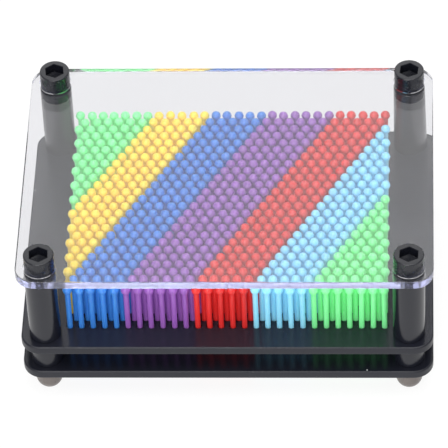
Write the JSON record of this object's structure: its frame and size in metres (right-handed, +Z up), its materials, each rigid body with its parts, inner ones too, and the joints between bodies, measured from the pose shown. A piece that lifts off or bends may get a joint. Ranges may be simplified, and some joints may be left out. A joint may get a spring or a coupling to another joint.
{
  "type": "pin art impression toy",
  "caption": "Desk toy with a bed of sliding coloured plastic pins held in two black plates under a clear cover, on four corner posts and soft feet.",
  "frame": {"origin": "middle of the footprint, on the surface that the feet stand on", "axes": "+X to the right along the long side, +Y to the back, +Z up through the pins"},
  "size_m": [0.125, 0.092, 0.0566],
  "materials": {
    "clear_acrylic": "clear, polished, with polished edges",
    "black_acrylic": "polished black",
    "black_post": "satin charcoal",
    "black_screw": "satin black",
    "zinc_screw": "bright zinc",
    "foot_rubber": "translucent taupe, soft",
    "pin_green": "moulded, glossy",
    "pin_yellow": "moulded, glossy",
    "pin_blue": "moulded, glossy",
    "pin_purple": "moulded, glossy",
    "pin_red": "moulded, glossy",
    "pin_sky": "moulded, glossy"
  },
  "bodies": {
    "frame": {"clear_cover": "clear_acrylic", "upper_pin_plate": "black_acrylic", "lower_pin_plate": "black_acrylic", "cap_screw_front_left": "black_screw", "column_front_left": "black_post", "spacer_front_left": "black_post", "foot_screw_front_left": "zinc_screw", "foot_front_left": "foot_rubber", "cap_screw_front_right": "black_screw", "column_front_right": "black_post", "spacer_front_right": "black_post", "foot_screw_front_right": "zinc_screw", "foot_front_right": "foot_rubber", "cap_screw_back_left": "black_screw", "column_back_left": "black_post", "spacer_back_left": "black_post", "foot_screw_back_left": "zinc_screw", "foot_back_left": "foot_rubber", "cap_screw_back_right": "black_screw", "column_back_right": "black_post", "spacer_back_right": "black_post", "foot_screw_back_right": "zinc_screw", "foot_back_right": "foot_rubber"},
    "pins_left_green_1": {"pins_left_green_1": "pin_green"},
    "pins_left_green_2": {"pins_left_green_2": "pin_green"},
    "pins_left_green_3": {"pins_left_green_3": "pin_green"},
    "pins_yellow_1": {"pins_yellow_1": "pin_yellow"},
    "pins_yellow_2": {"pins_yellow_2": "pin_yellow"},
    "pins_yellow_3": {"pins_yellow_3": "pin_yellow"},
    "pins_yellow_4": {"pins_yellow_4": "pin_yellow"},
    "pins_yellow_5": {"pins_yellow_5": "pin_yellow"},
    "pins_blue_1": {"pins_blue_1": "pin_blue"},
    "pins_blue_2": {"pins_blue_2": "pin_blue"},
    "pins_blue_3": {"pins_blue_3": "pin_blue"},
    "pins_blue_4": {"pins_blue_4": "pin_blue"},
    "pins_blue_5": {"pins_blue_5": "pin_blue"},
    "pins_blue_6": {"pins_blue_6": "pin_blue"},
    "pins_purple_1": {"pins_purple_1": "pin_purple"},
    "pins_purple_2": {"pins_purple_2": "pin_purple"},
    "pins_purple_3": {"pins_purple_3": "pin_purple"},
    "pins_purple_4": {"pins_purple_4": "pin_purple"},
    "pins_purple_5": {"pins_purple_5": "pin_purple"},
    "pins_purple_6": {"pins_purple_6": "pin_purple"},
    "pins_purple_7": {"pins_purple_7": "pin_purple"},
    "pins_red_1": {"pins_red_1": "pin_red"},
    "pins_red_2": {"pins_red_2": "pin_red"},
    "pins_red_3": {"pins_red_3": "pin_red"},
    "pins_red_4": {"pins_red_4": "pin_red"},
    "pins_red_5": {"pins_red_5": "pin_red"},
    "pins_red_6": {"pins_red_6": "pin_red"},
    "pins_sky_1": {"pins_sky_1": "pin_sky"},
    "pins_sky_2": {"pins_sky_2": "pin_sky"},
    "pins_sky_3": {"pins_sky_3": "pin_sky"},
    "pins_sky_4": {"pins_sky_4": "pin_sky"},
    "pins_sky_5": {"pins_sky_5": "pin_sky"},
    "pins_right_green_1": {"pins_right_green_1": "pin_green"},
    "pins_right_green_2": {"pins_right_green_2": "pin_green"},
    "pins_right_green_3": {"pins_right_green_3": "pin_green"}
  },
  "joints": [
    {"name": "pins_left_green_1_slide", "type": "slide", "parent": "frame", "child": "pins_left_green_1", "axis": [0, 0, 1], "range_m": [-0.0143, 0.0085]},
    {"name": "pins_left_green_2_slide", "type": "slide", "parent": "frame", "child": "pins_left_green_2", "axis": [0, 0, 1], "range_m": [-0.0143, 0.0085]},
    {"name": "pins_left_green_3_slide", "type": "slide", "parent": "frame", "child": "pins_left_green_3", "axis": [0, 0, 1], "range_m": [-0.0143, 0.0085]},
    {"name": "pins_yellow_1_slide", "type": "slide", "parent": "frame", "child": "pins_yellow_1", "axis": [0, 0, 1], "range_m": [-0.0143, 0.0085]},
    {"name": "pins_yellow_2_slide", "type": "slide", "parent": "frame", "child": "pins_yellow_2", "axis": [0, 0, 1], "range_m": [-0.0143, 0.0085]},
    {"name": "pins_yellow_3_slide", "type": "slide", "parent": "frame", "child": "pins_yellow_3", "axis": [0, 0, 1], "range_m": [-0.0143, 0.0085]},
    {"name": "pins_yellow_4_slide", "type": "slide", "parent": "frame", "child": "pins_yellow_4", "axis": [0, 0, 1], "range_m": [-0.0143, 0.0085]},
    {"name": "pins_yellow_5_slide", "type": "slide", "parent": "frame", "child": "pins_yellow_5", "axis": [0, 0, 1], "range_m": [-0.0143, 0.0085]},
    {"name": "pins_blue_1_slide", "type": "slide", "parent": "frame", "child": "pins_blue_1", "axis": [0, 0, 1], "range_m": [-0.0143, 0.0085]},
    {"name": "pins_blue_2_slide", "type": "slide", "parent": "frame", "child": "pins_blue_2", "axis": [0, 0, 1], "range_m": [-0.0143, 0.0085]},
    {"name": "pins_blue_3_slide", "type": "slide", "parent": "frame", "child": "pins_blue_3", "axis": [0, 0, 1], "range_m": [-0.0143, 0.0085]},
    {"name": "pins_blue_4_slide", "type": "slide", "parent": "frame", "child": "pins_blue_4", "axis": [0, 0, 1], "range_m": [-0.0143, 0.0085]},
    {"name": "pins_blue_5_slide", "type": "slide", "parent": "frame", "child": "pins_blue_5", "axis": [0, 0, 1], "range_m": [-0.0143, 0.0085]},
    {"name": "pins_blue_6_slide", "type": "slide", "parent": "frame", "child": "pins_blue_6", "axis": [0, 0, 1], "range_m": [-0.0143, 0.0085]},
    {"name": "pins_purple_1_slide", "type": "slide", "parent": "frame", "child": "pins_purple_1", "axis": [0, 0, 1], "range_m": [-0.0143, 0.0085]},
    {"name": "pins_purple_2_slide", "type": "slide", "parent": "frame", "child": "pins_purple_2", "axis": [0, 0, 1], "range_m": [-0.0143, 0.0085]},
    {"name": "pins_purple_3_slide", "type": "slide", "parent": "frame", "child": "pins_purple_3", "axis": [0, 0, 1], "range_m": [-0.0143, 0.0085]},
    {"name": "pins_purple_4_slide", "type": "slide", "parent": "frame", "child": "pins_purple_4", "axis": [0, 0, 1], "range_m": [-0.0143, 0.0085]},
    {"name": "pins_purple_5_slide", "type": "slide", "parent": "frame", "child": "pins_purple_5", "axis": [0, 0, 1], "range_m": [-0.0143, 0.0085]},
    {"name": "pins_purple_6_slide", "type": "slide", "parent": "frame", "child": "pins_purple_6", "axis": [0, 0, 1], "range_m": [-0.0143, 0.0085]},
    {"name": "pins_purple_7_slide", "type": "slide", "parent": "frame", "child": "pins_purple_7", "axis": [0, 0, 1], "range_m": [-0.0143, 0.0085]},
    {"name": "pins_red_1_slide", "type": "slide", "parent": "frame", "child": "pins_red_1", "axis": [0, 0, 1], "range_m": [-0.0143, 0.0085]},
    {"name": "pins_red_2_slide", "type": "slide", "parent": "frame", "child": "pins_red_2", "axis": [0, 0, 1], "range_m": [-0.0143, 0.0085]},
    {"name": "pins_red_3_slide", "type": "slide", "parent": "frame", "child": "pins_red_3", "axis": [0, 0, 1], "range_m": [-0.0143, 0.0085]},
    {"name": "pins_red_4_slide", "type": "slide", "parent": "frame", "child": "pins_red_4", "axis": [0, 0, 1], "range_m": [-0.0143, 0.0085]},
    {"name": "pins_red_5_slide", "type": "slide", "parent": "frame", "child": "pins_red_5", "axis": [0, 0, 1], "range_m": [-0.0143, 0.0085]},
    {"name": "pins_red_6_slide", "type": "slide", "parent": "frame", "child": "pins_red_6", "axis": [0, 0, 1], "range_m": [-0.0143, 0.0085]},
    {"name": "pins_sky_1_slide", "type": "slide", "parent": "frame", "child": "pins_sky_1", "axis": [0, 0, 1], "range_m": [-0.0143, 0.0085]},
    {"name": "pins_sky_2_slide", "type": "slide", "parent": "frame", "child": "pins_sky_2", "axis": [0, 0, 1], "range_m": [-0.0143, 0.0085]},
    {"name": "pins_sky_3_slide", "type": "slide", "parent": "frame", "child": "pins_sky_3", "axis": [0, 0, 1], "range_m": [-0.0143, 0.0085]},
    {"name": "pins_sky_4_slide", "type": "slide", "parent": "frame", "child": "pins_sky_4", "axis": [0, 0, 1], "range_m": [-0.0143, 0.0085]},
    {"name": "pins_sky_5_slide", "type": "slide", "parent": "frame", "child": "pins_sky_5", "axis": [0, 0, 1], "range_m": [-0.0143, 0.0085]},
    {"name": "pins_right_green_1_slide", "type": "slide", "parent": "frame", "child": "pins_right_green_1", "axis": [0, 0, 1], "range_m": [-0.0143, 0.0085]},
    {"name": "pins_right_green_2_slide", "type": "slide", "parent": "frame", "child": "pins_right_green_2", "axis": [0, 0, 1], "range_m": [-0.0143, 0.0085]},
    {"name": "pins_right_green_3_slide", "type": "slide", "parent": "frame", "child": "pins_right_green_3", "axis": [0, 0, 1], "range_m": [-0.0143, 0.0085]}
  ]
}
